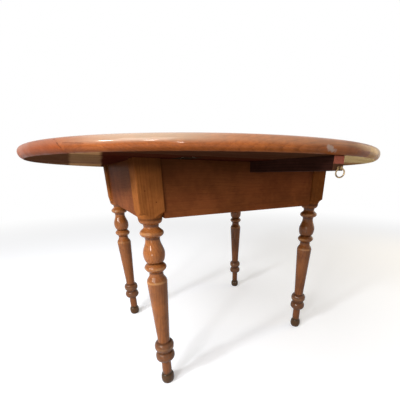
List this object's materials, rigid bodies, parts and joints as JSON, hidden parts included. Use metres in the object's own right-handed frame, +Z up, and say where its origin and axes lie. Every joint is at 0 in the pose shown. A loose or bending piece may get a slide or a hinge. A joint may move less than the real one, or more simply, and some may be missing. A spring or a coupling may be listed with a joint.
{
  "type": "drop-leaf table",
  "caption": "Round drop-leaf table on turned legs: hinged leaves with rule joints, each held up by a sliding loper with a ring pull.",
  "frame": {"origin": "on the floor, under the middle of the round top", "axes": "+Z up; X along the leaf joints; -Y the near side, whose loper is drawn out at rest"},
  "size_m": [1.168, 1.168, 0.74],
  "materials": {
    "top_wood": "glossy varnish on honey-brown wood",
    "leg_wood": "glossy varnish on red-brown wood",
    "rail_wood": "satin varnish on dark red-brown wood",
    "inner_wood": "bare wood",
    "brass": "dull brass",
    "steel": "dark aged steel"
  },
  "bodies": {
    "frame": {"centre_board_near": "top_wood", "centre_board_middle": "top_wood", "centre_board_far": "top_wood", "leg_near_left": "leg_wood", "leg_near_right": "leg_wood", "leg_far_left": "leg_wood", "leg_far_right": "leg_wood", "long_rail_near": "rail_wood", "long_rail_far": "rail_wood", "short_rail_left": "rail_wood", "short_rail_right": "rail_wood", "tenon_pegs": "inner_wood", "top_blocks": "inner_wood", "block_screws": "steel", "loper_guide_left": "inner_wood", "loper_guide_middle": "inner_wood", "loper_guide_right": "inner_wood", "keeper_near": "inner_wood", "keeper_far": "inner_wood", "keeper_screws": "steel", "hinge_short_plates": "steel", "hinge_pins": "steel", "short_plate_screws": "steel"},
    "near_leaf": {"near_leaf_inner_board": "top_wood", "near_leaf_outer_board": "top_wood", "near_leaf_hinge_plates": "steel", "near_leaf_screws": "steel"},
    "far_leaf": {"far_leaf_inner_board": "top_wood", "far_leaf_outer_board": "top_wood", "far_leaf_hinge_plates": "steel", "far_leaf_screws": "steel"},
    "near_support": {"near_loper": "inner_wood", "near_stop_peg": "leg_wood", "near_pull_eye": "brass"},
    "far_support": {"far_loper": "inner_wood", "far_stop_peg": "leg_wood", "far_pull_eye": "brass"},
    "near_pull": {"near_ring": "brass"},
    "far_pull": {"far_ring": "brass"}
  },
  "joints": [
    {"name": "far_leaf_fold", "type": "hinge", "parent": "frame", "child": "far_leaf", "pos_m": [0, 0.308, 0.716], "axis": [1, 0, 0], "range_deg": [-90, 0]},
    {"name": "near_leaf_lift", "type": "hinge", "parent": "frame", "child": "near_leaf", "pos_m": [0, -0.308, 0.716], "axis": [-1, 0, 0], "range_deg": [0, 1]},
    {"name": "near_loper_slide", "type": "slide", "parent": "frame", "child": "near_support", "axis": [0, -1, 0], "range_m": [-0.286, 0]},
    {"name": "far_loper_slide", "type": "slide", "parent": "frame", "child": "far_support", "axis": [0, 1, 0], "range_m": [0, 0.286]},
    {"name": "near_ring_swing", "type": "hinge", "parent": "near_support", "child": "near_pull", "pos_m": [0.012, -0.578, 0.686], "axis": [-0.866, 0.5, 0], "range_deg": [0, 90]},
    {"name": "far_ring_swing", "type": "hinge", "parent": "far_support", "child": "far_pull", "pos_m": [0.065, 0.292, 0.686], "axis": [0.866, 0.5, 0], "range_deg": [0, 90]}
  ]
}
